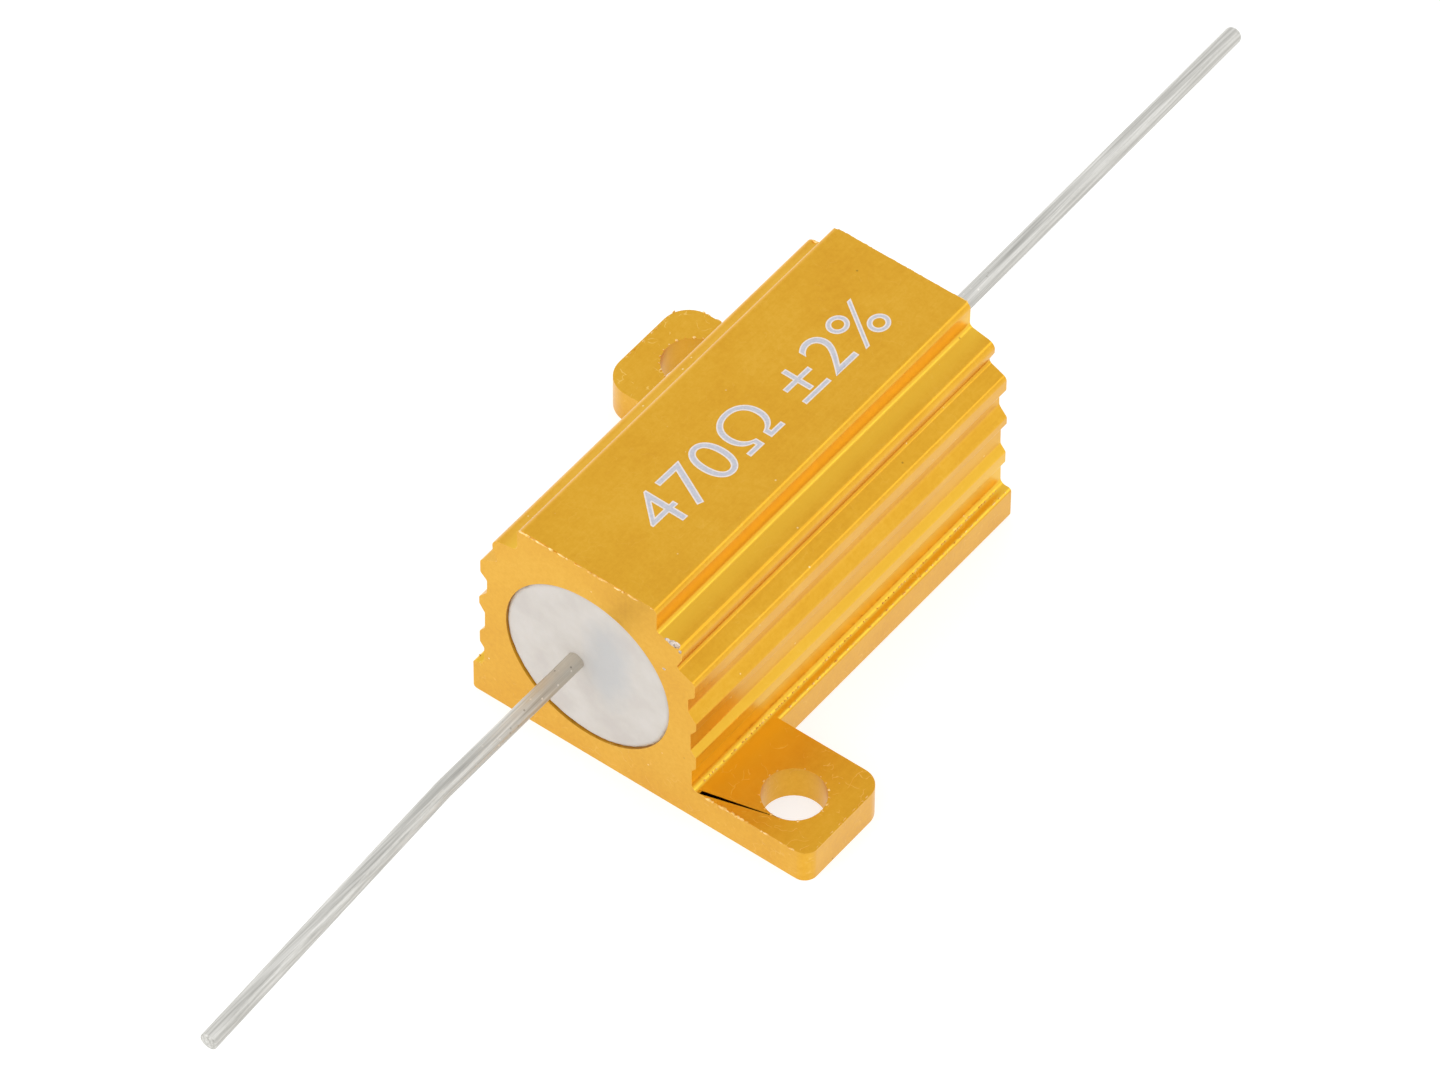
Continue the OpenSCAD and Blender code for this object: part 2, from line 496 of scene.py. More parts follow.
@dataclass(frozen=True)
class Tinned(Finish):
    """Hot-tinned copper wire: dull silver with long draw lines, painted greyer below as shade, and warmer at the
    potting.
    """

    face: float

    def build(self) -> bpy.types.Material:
        """Makes the material.

        Returns:
            The finished material.
        """
        paint = Paint(self.name)
        # Draw lines along the wire, about 0.07 mm apart
        lines = paint.noise((14.0, 0.25, 14.0), 3.0)
        colour = paint.ramp(lines, [(0.3, "abaaa5"), (0.5, "c9c8c3"), (0.7, "e4e3df")])
        # The side that faces down and towards +X is painted grey as shade
        where = add(paint.tree, "ShaderNodeTexCoord").outputs["Normal"]
        below = add(paint.tree, "ShaderNodeVectorMath", {0: where, 1: (0.74, 0.0, -0.67)}, operation="DOT_PRODUCT")
        grey = paint.range(below.outputs["Value"], 0.05, 0.75, 0.0, 0.4)
        colour = paint.mixed(grey, colour, "a5a29b")
        # Flux and handling leave the first two millimetres warmer
        along = add(paint.tree, "ShaderNodeSeparateXYZ", {0: paint.mm}).outputs[1]
        out = paint.node("ShaderNodeMath", {0: along}, operation="ABSOLUTE")
        near = paint.range(out, self.face + 0.3, self.face + 2.2, 0.7, 0.0)
        colour = paint.mixed(near, colour, "d8cfbf")
        # Specks just beyond the potting, about 0.06 mm: the pale ones are painted glints, the dark ones spatters of
        # tin and flux
        beyond = paint.range(out, self.face + 6.0, self.face + 1.8, 0.0, 1.0)
        for pitch, share, tint in ((0.22, 0.35, "fffaf2"), (0.3, 0.6, "857c70")):
            glints_and_spatter = paint.specks(pitch, 0.032, share)
            glints_and_spatter = paint.math("MULTIPLY", glints_and_spatter, beyond)
            colour = paint.mixed(paint.range(glints_and_spatter, 0, 1, 0, 0.75), colour, tint)
        # Small bright lumps in the tin, about 0.1 mm
        lumps = paint.noise((7.0, 3.0, 7.0), 3.0, 0.7)
        height = paint.blend(0.6, lines, lumps)
        paint.tree.links.new(paint.range(lines, 0.3, 0.7, 0.34, 0.5), paint.shader.inputs["Roughness"])
        paint.shader.inputs["Metallic"].default_value = 1.0
        return paint.close(colour, height, 14.0)


@dataclass(frozen=True)
class Plain(Finish):
    """A finish of one tone with a fine grain: fired ceramic, plated steel, drawn alloy, bare metal or ink."""

    dark: str
    light: str
    metallic: float
    roughness: float
    grain_per_mm: float
    relief: float = 4.0

    def build(self) -> bpy.types.Material:
        """Makes the material.

        Returns:
            The finished material.
        """
        paint = Paint(self.name)
        speck = paint.noise(self.grain_per_mm, 3.0)
        colour = paint.ramp(speck, [(0.35, self.dark), (0.65, self.light)])
        paint.shader.inputs["Metallic"].default_value = self.metallic
        paint.shader.inputs["Roughness"].default_value = self.roughness
        return paint.close(colour, speck, self.relief)


# ---------------------------------------------------------------- geometry trees


class Recipe(Graph):
    """A geometry node tree with named inputs, and the modifier that runs it on an object."""

    def __init__(self, name: str, sizes: dict[str, float]) -> None:
        """Starts the tree.

        Args:
            name: Name of the tree.
            sizes: Each input's name and its value.
        """
        self.sizes = sizes
        super().__init__(bpy.data.node_groups.new(name, "GeometryNodeTree"))
        face = self.tree.interface
        face.new_socket("Geometry", in_out="INPUT", socket_type="NodeSocketGeometry")
        for size in sizes:
            face.new_socket(size, in_out="INPUT", socket_type="NodeSocketFloat")
        face.new_socket("Geometry", in_out="OUTPUT", socket_type="NodeSocketGeometry")
        self.start = self.tree.nodes.new("NodeGroupInput")
        self.end = self.tree.nodes.new("NodeGroupOutput")

    def value(self, name: str) -> Socket:
        """The socket of a named input."""
        return self.start.outputs[name]

    def sum(self, *terms: Value) -> Socket:
        """Adds up sockets and numbers."""
        total = terms[0]
        for term in terms[1:]:
            total = self.math("ADD", total, term)
        return total

    def times(self, a: Socket, b: Value) -> Socket:
        """Multiplies a socket by a socket or a number."""
        return self.math("MULTIPLY", a, b)

    def vector(self, x: Value = 0.0, y: Value = 0.0, z: Value = 0.0) -> Socket:
        """Joins three sockets or numbers into a vector."""
        return self.node("ShaderNodeCombineXYZ", {0: x, 1: y, 2: z})

    def moved(
        self,
        geometry: Socket,
        offset: Socket | Sequence[float] = (0.0, 0.0, 0.0),
        turn: Sequence[float] = (0.0, 0.0, 0.0),
        scale: Sequence[float] = (1.0, 1.0, 1.0),
    ) -> Socket:
        """Moves, turns and scales a geometry.

        Args:
            geometry: The geometry socket.
            offset: Shift as a vector or a socket.
            turn: Euler angles in radians.
            scale: Factors along the three axes.

        Returns:
            The moved geometry.
        """
        inputs = {"Geometry": geometry, "Translation": offset, "Rotation": turn, "Scale": scale}
        return self.node("GeometryNodeTransform", inputs)

    def joined(self, *parts: Socket) -> Socket:
        """Joins geometries into one."""
        node = self.tree.nodes.new("GeometryNodeJoinGeometry")
        for part in parts:
            self.tree.links.new(part, node.inputs[0])
        return node.outputs[0]

    def prism(self, outline: Socket, height: Socket) -> Socket:
        """Fills a closed flat curve and raises it into a closed solid along +Z.

        Args:
            outline: A closed curve in the XY plane.
            height: How far it is raised.

        Returns:
            The solid's mesh.
        """
        sheet = self.node("GeometryNodeFillCurve", {"Curve": outline}, mode="NGONS")
        walls = self.node(
            "GeometryNodeExtrudeMesh",
            {"Mesh": sheet, "Offset": self.vector(z=1.0), "Offset Scale": height, "Individual": False},
        )
        foot = self.node("GeometryNodeFlipFaces", {"Mesh": sheet})
        return self.node("GeometryNodeMergeByDistance", {"Geometry": self.joined(walls, foot), "Distance": 1e-7})

    def rod(
        self, radius: Value, start: Sequence[float], length: Value, sides: int = 64, far_radius: Value | None = None
    ) -> Socket:
        """A closed rod or cone along +Y.

        Args:
            radius: Radius at its start.
            start: Middle of its first end, in metres.
            length: Length in metres.
            sides: Number of sides.
            far_radius: Radius at its far end, if it differs.

        Returns:
            The rod's mesh.
        """
        sizes = {"Vertices": sides, "Radius Bottom": radius, "Depth": length}
        sizes["Radius Top"] = radius if far_radius is None else far_radius
        cone = self.node("GeometryNodeMeshCone", sizes)
        return self.moved(cone, tuple(start), (-math.pi / 2, 0.0, 0.0))

    def cut(self, body: Socket, tools: Sequence[Socket]) -> Socket:
        """Cuts tools out of a body.

        Args:
            body: The mesh that is cut.
            tools: The meshes that cut it.

        Returns:
            The cut mesh.
        """
        kind = "GeometryNodeMeshBoolean"
        node = add(self.tree, kind, {"Mesh 1": body}, operation="DIFFERENCE", solver="MANIFOLD")
        for tool in tools:
            self.tree.links.new(tool, node.inputs["Mesh 2"])
        return node.outputs[0]

    def union(self, parts: Sequence[Socket]) -> Socket:
        """Melts meshes into one.

        Args:
            parts: The meshes.

        Returns:
            Their union.
        """
        node = add(self.tree, "GeometryNodeMeshBoolean", operation="UNION", solver="MANIFOLD")
        for part in parts:
            self.tree.links.new(part, node.inputs["Mesh 2"])
        return node.outputs[0]

    def roughened(self, geometry: Socket, amount: Value, per_mm: float) -> Socket:
        """Moves each point of a mesh by a smooth random step.

        Args:
            geometry: The mesh.
            amount: Largest step in metres.
            per_mm: Lumps per millimetre.

        Returns:
            The uneven mesh.
        """
        lumps = add(self.tree, "ShaderNodeTexNoise", {"Scale": per_mm / MM, "Detail": 1.0}).outputs["Color"]
        centred = self.node("ShaderNodeVectorMath", {0: lumps, 1: (0.5,) * 3}, operation="SUBTRACT")
        reach = {0: centred, "Scale": self.times(amount, 2.0)}
        step = self.node("ShaderNodeVectorMath", reach, operation="SCALE")
        return self.node("GeometryNodeSetPosition", {"Geometry": geometry, "Offset": step})

    def crumbs(self, path: Socket, count: int, low: Sequence[float], high: Sequence[float], seed: int) -> Socket:
        """Sets small uneven lumps along a path, each turned and sized at random.

        Args:
            path: The curve that they stand on.
            count: How many.
            low: Least half size along X, Y and Z, in metres.
            high: Largest half size.
            seed: Seed of the sizes.

        Returns:
            The lumps as one mesh.
        """
        spots = self.node("GeometryNodeResampleCurve", {"Curve": path, "Count": count})
        lump = self.node("GeometryNodeMeshIcoSphere", {"Radius": 1.0, "Subdivisions": 2})
        size = self.node(
            "FunctionNodeRandomValue", {0: tuple(low), 1: tuple(high), 8: seed}, data_type="FLOAT_VECTOR"
        )
        turn = self.node(
            "FunctionNodeRandomValue", {0: (-0.1,) * 3, 1: (0.1,) * 3, 8: seed + 1}, data_type="FLOAT_VECTOR"
        )
        share = add(self.tree, "FunctionNodeRandomValue", {"Probability": 0.7, 8: seed + 2}, data_type="BOOLEAN")
        kept = share.outputs[3]
        placed_on = self.node(
            "GeometryNodeInstanceOnPoints",
            {"Points": spots, "Selection": kept, "Instance": lump, "Rotation": turn, "Scale": size},
        )
        real = self.node("GeometryNodeRealizeInstances", {"Geometry": placed_on})
        return self.roughened(real, 0.008 * MM, 25.0)

    def marked(self, geometry: Socket, region: int) -> Socket:
        """Marks every face of a mesh with a region's number, which it keeps through unions and cuts.

        Args:
            geometry: The mesh.
            region: The number.

        Returns:
            The marked mesh.
        """
        values = {"Geometry": geometry, "Name": "region", "Value": region}
        return self.node("GeometryNodeStoreNamedAttribute", values, data_type="INT", domain="FACE")

    def finish(self, geometry: Socket, material: bpy.types.Material) -> None:
        """Ends the tree with real instances and a material.

        Args:
            geometry: What the tree made.
            material: Material for all of it.
        """
        last = self.node("GeometryNodeRealizeInstances", {"Geometry": geometry})
        last = self.node("GeometryNodeSetMaterial", {"Geometry": last, "Material": material})
        self.tree.links.new(last, self.end.inputs[0])

    def run(self, name: str, source: bpy.types.Object) -> bpy.types.Object:
        """Runs the tree on an object.

        Args:
            name: Name of the finished piece.
            source: The object that the tree starts from, which is used up.

        Returns:
            The finished piece as a plain mesh.
        """
        modifier = source.modifiers.new("recipe", "NODES")
        modifier.node_group = self.tree
        for item in self.tree.interface.items_tree:
            if item.item_type == "SOCKET" and item.in_out == "INPUT" and item.name in self.sizes:
                modifier[item.identifier] = self.sizes[item.name]
        return baked(name, source)


def chain(name: str, points: Iterable[Vector], closed: bool) -> bpy.types.Object:
    """Makes an object of edges through points.

    Args:
        name: Name of the object.
        points: The points in order, in metres.
        closed: True to join the last point to the first.

    Returns:
        An object with edges and no faces.
    """
    points = list(points)
    last = len(points) if closed else len(points) - 1
    mesh = bpy.data.meshes.new(name)
    mesh.from_pydata([tuple(p) for p in points], [(i, (i + 1) % len(points)) for i in range(last)], [])
    return placed(name + "_source", mesh)


# ---------------------------------------------------------------- housing


@dataclass(frozen=True)
class Nick:
    """A chip or burr on an edge: its middle, its half sizes in millimetres and its turn about Z in degrees."""

    place: tuple[float, float, float]
    reach: tuple[float, float, float]
    turn: float = 0.0


@dataclass
class Housing:
    """Ribbed extrusion with two screw tabs, sawn to length, bored and anodised. Sizes in millimetres."""

    front_tab: float = 3.75
    rear_tab: float = 4.15
    tab_corner_end: float = 0.45
    tab_corner_inner: float = 0.7
    tab_corner_rear: float = 0.95
    tab_root: float = 3.6
    ink_room: float = 0.006
    edge_break: float = 0.055
    edge_steps: int = 3
    broken_from_deg: float = 50.0
    hard_from_deg: float = 45.0
    burr_unevenness: float = 0.02
    chip_unevenness: float = 0.03
    chips: tuple[Nick, ...] = (
        Nick((3.24, -7.63, 7.33), (0.27, 0.14, 0.11), 15),
        Nick((3.00, -7.66, 7.38), (0.12, 0.09, 0.08)),
        Nick((3.45, -7.66, 7.16), (0.06, 0.05, 0.07)),
        Nick((2.86, -7.68, 5.98), (0.07, 0.05, 0.06)),
        Nick((-2.40, 7.66, 8.36), (0.08, 0.06, 0.05)),
    )
    burrs: tuple[Nick, ...] = (
        Nick((5.05, -7.65, 1.25), (0.15, 0.06, 0.06), 2),
        Nick((5.42, -7.65, 1.23), (0.10, 0.05, 0.06), -6),
        Nick((4.55, -7.65, 1.24), (0.10, 0.05, 0.05)),
        Nick((-2.22, -7.64, 8.35), (0.15, 0.05, 0.04), 3),
        Nick((-1.30, -7.65, 8.35), (0.12, 0.05, 0.04), -4),
        Nick((0.55, -7.65, 8.35), (0.14, 0.05, 0.04), 2),
        Nick((1.70, -7.65, 8.35), (0.10, 0.05, 0.04)),
        Nick((-3.20, 7.60, 7.30), (0.12, 0.05, 0.05)),
    )
    mounts: dict = field(default_factory=lambda: {m["name"]: m for m in frame["record"]["mounts"]})

    def __post_init__(self) -> None:
        """Reads the driving sizes from the frame."""
        self.lo, self.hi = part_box("housing")
        self.plug_lo, self.plug_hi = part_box("potting")
        self.half = self.hi.y
        self.bore_z = (self.plug_lo.z + self.plug_hi.z) / 2
        self.tab_t = self.mounts["front_tab_hole"]["dims"]["length_mm"] * MM

    def half_section(self) -> list[Vector]:
        """Reads the extrusion's left half outline from the frame's housing.

        Returns:
            Points as (x, z, 0) from the foot up to the flat top, with x below zero.
        """
        mesh = bmesh.new()
        mesh.from_mesh(frame["nodes"]["housing"].data)
        bmesh.ops.remove_doubles(mesh, verts=mesh.verts, dist=1e-6)
        faces = {f for f in mesh.faces if all(abs(v.co.y - self.lo.y) < 1e-6 for v in f.verts)}
        rim = {e for e in mesh.edges if sum(f in faces for f in e.link_faces) == 1}
        here = min((v for e in rim for v in e.verts), key=lambda v: (round(v.co.z, 6), v.co.x))
        half = []
        while here and here.co.x < 0:
            half.append(Vector((here.co.x, here.co.z, 0)))
            ahead = [e.other_vert(here) for e in here.link_edges if e in rim]
            # Up the side: away from the foot, and never back
            ahead = [v for v in ahead if (Vector((v.co.x, v.co.z, 0)) not in half and v.co.z > 1e-6)]
            here = ahead[0] if ahead else None
        mesh.free()
        return half

    def tab(self, recipe: Recipe, length: str, corners: Sequence[str]) -> Socket:
        """One rounded tab on the +X side, with its outer edge at the front end.

        Args:
            recipe: The tree it is added to.
            length: Name of the input that holds its length along the body.
            corners: Names of the inputs for the outer corner at the end and the inner one.

        Returns:
            The tab's mesh.
        """
        reach, root, long = recipe.value("Tab Reach"), recipe.value("Tab Root"), recipe.value(length)
        across = recipe.math("SUBTRACT", reach, root)
        outline = recipe.node(
            "GeometryNodeCurvePrimitiveQuadrilateral", {"Width": across, "Height": long}, mode="RECTANGLE"
        )
        middle = recipe.times(recipe.sum(reach, root), 0.5)
        along = recipe.math("SUBTRACT", recipe.times(long, 0.5), recipe.value("Half Length"))
        shifted = recipe.moved(outline, recipe.vector(x=middle, y=along))
        split = add(recipe.tree, "ShaderNodeSeparateXYZ", {0: recipe.node("GeometryNodeInputPosition")})
        outer = recipe.node("FunctionNodeCompare", {0: split.outputs[0], 1: middle}, operation="GREATER_THAN")
        inner = recipe.node("FunctionNodeCompare", {0: split.outputs[1], 1: along}, operation="GREATER_THAN")
        ends = {0: inner, 1: recipe.value(corners[0]), 2: recipe.value(corners[1])}
        radius = recipe.node("GeometryNodeSwitch", ends, input_type="FLOAT")
        radius = recipe.node("GeometryNodeSwitch", {0: outer, 1: 0.0, 2: radius}, input_type="FLOAT")
        rounded = recipe.node("GeometryNodeFilletCurve", {0: shifted, 1: 10, 2: radius}, mode="POLY")
        return recipe.prism(rounded, recipe.value("Tab Thickness"))

    def drill(self, recipe: Recipe, mount: dict, length: float) -> Socket:
        """A cutter for a hole that the record states.

        Args:
            recipe: The tree it is added to.
            mount: The record's mount.
            length: How long the cutter is, in metres.

        Returns:
            The cutter's mesh.
        """
        sizes = {"Vertices": 64, "Radius": mount["dims"]["r_mm"] * MM, "Depth": length}
        return recipe.moved(recipe.node("GeometryNodeMeshCylinder", sizes), tuple(mount["pos_m"]))

    def raw(self, skin: bpy.types.Material) -> bpy.types.Object:
        """Makes the sharp-edged housing from the section, the tabs and the cutters.

        Args:
            skin: The finish of its extruded faces.

        Returns:
            The housing before its edges are broken.
        """
        recipe = Recipe("ribbed_housing", {
            "Half Length": self.half,
            "Tab Reach": self.hi.x,
            "Tab Root": self.tab_root * MM,
            "Tab Thickness": self.tab_t,
            "Front Tab": self.front_tab * MM,
            "Rear Tab": self.rear_tab * MM,
            "End Corner": self.tab_corner_end * MM,
            "Inner Corner": self.tab_corner_inner * MM,
            "Rear Corner": self.tab_corner_rear * MM,
            "Bore Radius": self.plug_hi.x,
        })
        curve = recipe.node("GeometryNodeMeshToCurve", {"Mesh": recipe.value("Geometry")})
        length = recipe.times(recipe.value("Half Length"), 2.0)
        bar = recipe.prism(curve, length)
        bar = recipe.moved(bar, recipe.vector(y=recipe.value("Half Length")), (math.pi / 2, 0.0, 0.0))
        front = self.tab(recipe, "Front Tab", ("End Corner", "Inner Corner"))
        rear = recipe.moved(self.tab(recipe, "Rear Tab", ("Rear Corner", "Rear Corner")), turn=(0.0, 0.0, math.pi))
        bore = recipe.rod(recipe.value("Bore Radius"), (0, -self.half - MM, self.bore_z), 2 * self.half + 2 * MM, 128)
        names = ("front_tab_hole", "rear_tab_hole")
        holes = [self.drill(recipe, self.mounts[name], 6 * self.tab_t) for name in names]
        recipe.finish(recipe.cut(recipe.union([bar, front, rear]), [bore, *holes]), skin)
        half = self.half_section()
        outline = half + [Vector((-p.x, p.y, 0)) for p in reversed(half)]
        return recipe.run("housing_raw", chain("section", outline, closed=True))

    def broken(self, obj: bpy.types.Object) -> None:
        """Breaks the sawn and drilled edges and marks each face with its region.

        Args:
            obj: The sharp-edged housing, changed in place.
        """
        mesh = bmesh.new()
        mesh.from_mesh(obj.data)
        bmesh.ops.remove_doubles(mesh, verts=mesh.verts, dist=SAME_PLACE)
        bmesh.ops.dissolve_limit(
            mesh, angle_limit=math.radians(FLAT_DEG), verts=mesh.verts, edges=mesh.edges,
            use_dissolve_boundaries=False,
        )
        # The flat top lies a hair low, so that the ink on it stays within the body's height
        for vertex in mesh.verts:
            if vertex.co.z > self.hi.z - 1e-7:
                vertex.co.z -= self.ink_room * MM
        for face in mesh.faces:
            face.material_index = self.region(face).value
        least = math.radians(self.broken_from_deg)
        hard = [e for e in mesh.edges if len(e.link_faces) == 2 and e.calc_face_angle() > least]
        bmesh.ops.bevel(
            mesh, geom=hard, offset=self.edge_break * MM, segments=self.edge_steps, profile=0.5, affect="EDGES",
            clamp_overlap=True, material=Region.EDGE.value,
        )
        # In triangles, because the cut that follows can fold a large face round a hole.
        # Known fault: the large face shared by ledge and front tab still leaves one triangle face down.
        bmesh.ops.triangulate(mesh, faces=mesh.faces, quad_method="BEAUTY", ngon_method="EAR_CLIP")
        carried = mesh.faces.layers.int.new("region")
        for face in mesh.faces:
            face[carried] = face.material_index
            face.material_index = 0
        mesh.to_mesh(obj.data)
        mesh.free()

    def region(self, face: bmesh.types.BMFace) -> Region:
        """Tells what kind of surface a face is.

        Args:
            face: A face of the housing.

        Returns:
            Its region.
        """
        middle, normal = face.calc_center_median(), face.normal
        if abs(normal.y) > 0.9 and abs(middle.y) > self.half - 0.1 * MM:
            return Region.SAWN
        if (middle - Vector((0, middle.y, self.bore_z))).length < self.plug_hi.x * 1.01:
            return Region.BORE
        if middle.z < self.tab_t and abs(normal.z) < 0.6:
            return Region.MILLED
        return Region.SKIN

    def worn(self, obj: bpy.types.Object, finishes: Sequence[bpy.types.Material]) -> bpy.types.Object:
        """Adds the burrs that saw and drill left along the edges, and knocks the chips out.

        Args:
            obj: The housing with broken edges, which is used up.
            finishes: The finish of each region.

        Returns:
            The housing with its wear.
        """
        recipe = Recipe("saw_marks", {
            "Burr Unevenness": self.burr_unevenness * MM, "Chip Unevenness": self.chip_unevenness * MM,
        })
        sawn, top, ledge = -self.half / MM, self.hi.z, self.tab_t
        # Rows of burrs as start, end, count, least and largest half size, for the front and the +X side
        lines = (
            # Sawn edge of the flat top
            ((-2.4, sawn, -0.045), (2.4, sawn, -0.045), top, 24, (0.04, 0.025, 0.012), (0.17, 0.06, 0.036)),
            # Sawn edge of the tab, and its milled outer edge
            ((4.5, sawn, -0.02), (7.6, sawn, -0.02), ledge, 18, (0.04, 0.02, 0.015), (0.15, 0.055, 0.055)),
            ((8.17, -7.1, -0.01), (8.17, -4.7, -0.01), ledge, 12, (0.01, 0.03, 0.01), (0.03, 0.1, 0.04)),
            # Milled edge of the ledge, and swarf in the corner above it
            ((4.27, -3.6, 0.0), (4.27, 7.4, 0.0), ledge, 40, (0.01, 0.02, 0.01), (0.035, 0.09, 0.035)),
            ((4.02, -7.3, 0.03), (4.02, 7.4, 0.03), ledge, 110, (0.01, 0.02, 0.01), (0.03, 0.07, 0.035)),
        )
        rows = []
        for i, (start, end, level, count, least, most) in enumerate(lines):
            for side in (1, -1):
                # The rear and the -X side are the same, turned half round
                ends = [Vector((side * x * MM, side * y * MM, level + z * MM)) for x, y, z in (start, end)]
                path = recipe.node("GeometryNodeCurvePrimitiveLine", {"Start": ends[0], "End": ends[1]})
                sizes = [tuple(v * MM for v in size) for size in (least, most)]
                rows.append(recipe.crumbs(path, count, *sizes, 11 + 7 * i + 50 * (side < 0)))
        for i, name in enumerate(("front_tab_hole", "rear_tab_hole")):
            mount = self.mounts[name]
            radius = (mount["dims"]["r_mm"] + 0.035) * MM
            around = {"Resolution": 48, "Radius": radius}
            ring = recipe.node("GeometryNodeCurvePrimitiveCircle", around, mode="RADIUS")
            ring = recipe.moved(ring, (mount["pos_m"][0], mount["pos_m"][1], ledge))
            sizes = (0.015 * MM,) * 3, (0.07 * MM, 0.06 * MM, 0.04 * MM)
            rows.append(recipe.crumbs(ring, 23, *sizes, 161 + 5 * i))
        burrs = [recipe.roughened(self.lump(recipe, n), recipe.value("Burr Unevenness"), 8.0) for n in self.burrs]
        chips = [recipe.roughened(self.lump(recipe, n), recipe.value("Chip Unevenness"), 9.0) for n in self.chips]
        added = [recipe.marked(g, Region.BURR.value) for g in (*rows, *burrs)]
        cutters = [recipe.marked(g, Region.CHIP.value) for g in chips]
        # The burrs stay closed lumps that sit in the edges: a union of hundreds folds the large faces
        recipe.finish(recipe.joined(recipe.cut(recipe.value("Geometry"), cutters), *added), finishes[0])
        worn = recipe.run("housing_shell", obj)
        # Cuts and joins can mix up material slots, so each face's finish comes from its own region
        marks = worn.data.attributes["region"]
        regions = [mark.value for mark in marks.data]
        worn.data.attributes.remove(marks)
        worn.data.materials.clear()
        for finish in finishes:
            worn.data.materials.append(finish)
        for polygon, region in zip(worn.data.polygons, regions):
            polygon.material_index = region
        return worn

    def lump(self, recipe: Recipe, nick: Nick) -> Socket:
        """One uneven lump for a burr or a chip.

        Args:
            recipe: The tree it is added to.
            nick: Its place and size.

        Returns:
            The lump's mesh.
        """
        ball = recipe.node("GeometryNodeMeshIcoSphere", {"Radius": MM, "Subdivisions": 3})
        place = tuple(v * MM for v in nick.place)
        return recipe.moved(ball, place, (0.0, 0.0, math.radians(nick.turn)), nick.reach)

    def build(self) -> None:
        """Makes the housing, dresses it and puts it in place of the plain one."""
        finishes = [
            # Extruded: faint die lines along the body
            Anodised("anodised_skin").build(),
            # Sawn ends: even, a little lighter
            Anodised("anodised_sawn", streak=0.0, roughness=0.34, relief=2.5, speck=0.3, scuffs=0.2,
                     painted_light_hollows=()).build(),
            # Milled sides of the tabs
            Anodised("anodised_milled", streak=0.0, roughness=0.33, relief=3.0, speck=0.5, scuffs=0.2,
                     painted_light_hollows=()).build(),
            # Bored wall
            Anodised("anodised_bore", streak=0.0, roughness=0.3).build(),
            # Broken edges: rubbed and uneven, and painted lighter as a highlight along them
            Anodised("anodised_edge", light="fbd480", middle="efbe58", deep="da9f34", streak=0.0, roughness=0.26,
                     relief=14.0, speck=0.5).build(),
            # Bare aluminium where a chip took the oxide off
            Plain("bare_aluminium", "a8978a", "efe2d6", 1.0, 0.4, 16.0, 25.0).build(),
            # Burrs: thin, polished by handling, and painted the brightest of all as a glint on them
            Plain("anodised_burr", "e0a63a", "ffe0a0", 1.0, 0.4, 5.0, 8.0).build(),
        ]
        obj = self.raw(finishes[0])
        self.broken(obj)
        obj = shaded(self.worn(obj, finishes), self.hard_from_deg)
        dress(obj, "anodised_aluminium")
        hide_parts("housing")


# ---------------------------------------------------------------- element


@dataclass
class Element:
    """Wirewound element on the bore's axis, read from the frame's boxes. Sizes in millimetres."""

    turns: int = 24
    steps_per_turn: int = 36
    wire_sides: int = 10

    def __post_init__(self) -> None:
        """Reads the winding's length, its radii and the axis from the frame."""
        lo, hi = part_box("resistance_winding")
        core_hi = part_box("ceramic_core")[1]
        self.axis_z = (lo.z + hi.z) / 2
        self.outside = hi.x
        self.core = core_hi.x
        self.half_length = hi.y
        self.cap_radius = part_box("rear_cap")[1].x
        self.cap_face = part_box("rear_cap")[1].y

    def build(self, alloy: bpy.types.Material) -> None:
        """Winds the wire on its fired layer, between the caps, and puts it in place of the plain rings.

        Args:
            alloy: The wire's material.
        """
        wire = (self.outside - self.core) / 2
        recipe = Recipe("resistance_wire", {
            "Wire Radius": wire,
            "Helix Radius": self.core + wire,
            "Travel": 2 * (self.half_length - wire),
            "Core Radius": self.core,
            "Layer": wire,
        })
        helix = recipe.node(
            "GeometryNodeCurveSpiral",
            {"Resolution": self.steps_per_turn, "Rotations": float(self.turns), "Height": recipe.value("Travel"),
             "Start Radius": recipe.value("Helix Radius"), "End Radius": recipe.value("Helix Radius")},
        )
        ring = recipe.node(
            "GeometryNodeCurvePrimitiveCircle",
            {"Resolution": self.wire_sides, "Radius": recipe.value("Wire Radius")}, mode="RADIUS",
        )
        wire_mesh = recipe.node("GeometryNodeCurveToMesh", {"Curve": helix, "Profile Curve": ring, "Fill Caps": True})
        start = (0.0, -self.half_length + wire, self.axis_z)
        wire_mesh = recipe.moved(wire_mesh, start, (-math.pi / 2, 0.0, 0.0))
        whole = 2 * self.half_length
        foot = (0.0, -self.half_length, self.axis_z)
        layer = recipe.rod(recipe.sum(recipe.value("Core Radius"), recipe.value("Layer")), foot, whole, 96)
        hollow = recipe.rod(
            recipe.value("Core Radius"), (0.0, foot[1] - MM, self.axis_z), whole + 2 * MM, 96
        )
        recipe.finish(recipe.cut(recipe.union([layer, wire_mesh]), [hollow]), alloy)
        obj = shaded(recipe.run("wound_wire", chain("winding", [Vector((0, 0, 0))], closed=False)), 50)
        dress(obj, "resistance_alloy")
        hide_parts("resistance_winding")


# ---------------------------------------------------------------- leads


